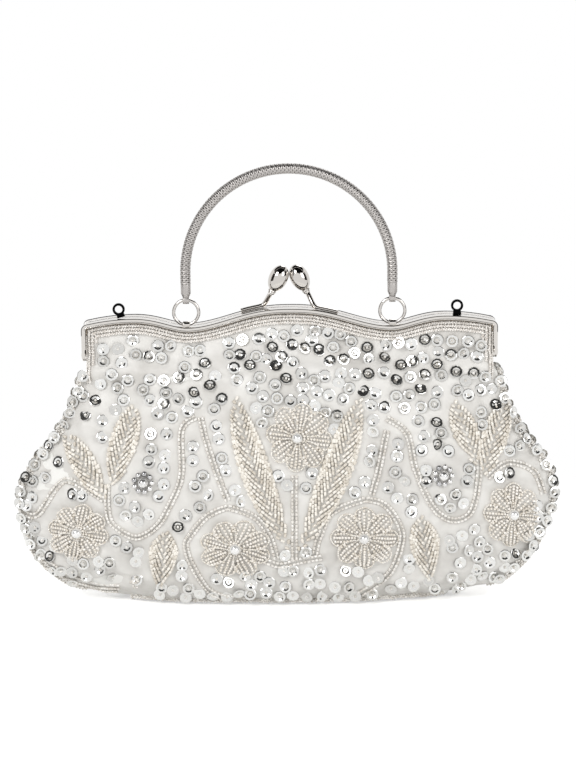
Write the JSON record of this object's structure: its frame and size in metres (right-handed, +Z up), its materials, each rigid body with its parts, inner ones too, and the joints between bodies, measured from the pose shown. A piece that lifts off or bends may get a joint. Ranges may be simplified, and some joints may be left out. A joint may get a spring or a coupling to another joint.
{
  "type": "clutch bag",
  "caption": "Padded satin evening clutch with beadwork, a hinged kiss-lock frame, chain eyes and an arched snake-chain handle.",
  "frame": {"origin": "middle of the bag's base, on the surface that it stands on", "axes": "+Z up, +X to the right as seen from the front, the front face towards -Y"},
  "size_m": [0.2732, 0.0522, 0.2212],
  "materials": {
    "satin": "woven duchess satin, soft sheen",
    "lining_satin": "thin lining satin",
    "wadding": "needled wadding, matt",
    "seed_beads": "silver-lined glass seed beads",
    "polished_beads": "polished plated beads",
    "sequins": "cupped metallised sequins",
    "frame_chrome": "bright nickel plate",
    "clasp_chrome": "bright nickel plate, polished",
    "eye_chrome": "bright nickel plate",
    "ring_chrome": "bright nickel plate",
    "chain_chrome": "nickel-plated snake chain"
  },
  "bodies": {
    "pouch": {"front_panel": "satin", "back_panel": "satin", "front_padding": "wadding", "back_padding": "wadding", "front_lining": "lining_satin", "back_lining": "lining_satin", "left_seam_trim": "seed_beads", "right_seam_trim": "seed_beads", "front_flowers": "seed_beads", "back_flowers": "seed_beads", "front_leaves": "seed_beads", "back_leaves": "seed_beads", "front_vines": "seed_beads", "back_vines": "seed_beads", "front_crystals": "polished_beads", "back_crystals": "polished_beads", "front_sequins": "sequins", "back_sequins": "sequins"},
    "front_frame": {"front_frame": "frame_chrome", "front_clasp_arm": "clasp_chrome", "front_clasp_knob": "clasp_chrome", "left_chain_eye": "eye_chrome", "right_chain_eye": "eye_chrome", "left_ring_lug": "ring_chrome", "right_ring_lug": "ring_chrome", "front_yoke": "satin", "front_lining_yoke": "lining_satin", "front_bead_border": "seed_beads"},
    "back_frame": {"back_frame": "frame_chrome", "left_hinge_rivet": "frame_chrome", "right_hinge_rivet": "frame_chrome", "back_clasp_arm": "clasp_chrome", "back_clasp_knob": "clasp_chrome", "back_yoke": "satin", "back_lining_yoke": "lining_satin", "back_bead_border": "seed_beads"},
    "left_ring": {"left_handle_ring": "ring_chrome"},
    "right_ring": {"right_handle_ring": "ring_chrome"},
    "handle": {"left_handle_cap": "chain_chrome", "right_handle_cap": "chain_chrome", "snake_chain": "chain_chrome"}
  },
  "joints": [
    {"name": "front_frame_open", "type": "hinge", "parent": "pouch", "child": "front_frame", "pos_m": [0, 0, 0.126], "axis": [1, 0, 0], "range_deg": [0, 40], "deforming": ["front_yoke", "front_lining_yoke"]},
    {"name": "back_frame_open", "type": "hinge", "parent": "pouch", "child": "back_frame", "pos_m": [0, 0, 0.126], "axis": [1, 0, 0], "range_deg": [-40, 0], "deforming": ["back_yoke", "back_lining_yoke"]},
    {"name": "left_ring_swing", "type": "hinge", "parent": "front_frame", "child": "left_ring", "pos_m": [-0.051, -0.0035, 0.14165], "axis": [1, 0, 0], "range_deg": [-70, 70]},
    {"name": "right_ring_swing", "type": "hinge", "parent": "front_frame", "child": "right_ring", "pos_m": [0.051, -0.0035, 0.14165], "axis": [1, 0, 0], "range_deg": [-70, 70]},
    {"name": "handle_swing", "type": "hinge", "parent": "left_ring", "child": "handle", "pos_m": [-0.051, -0.0035, 0.15405], "axis": [1, 0, 0], "range_deg": [-55, 55]}
  ],
  "couplings": [
    {"joint": "back_frame_open", "follows": "front_frame_open", "ratio": -1},
    {"joint": "right_ring_swing", "follows": "left_ring_swing", "ratio": 1}
  ]
}
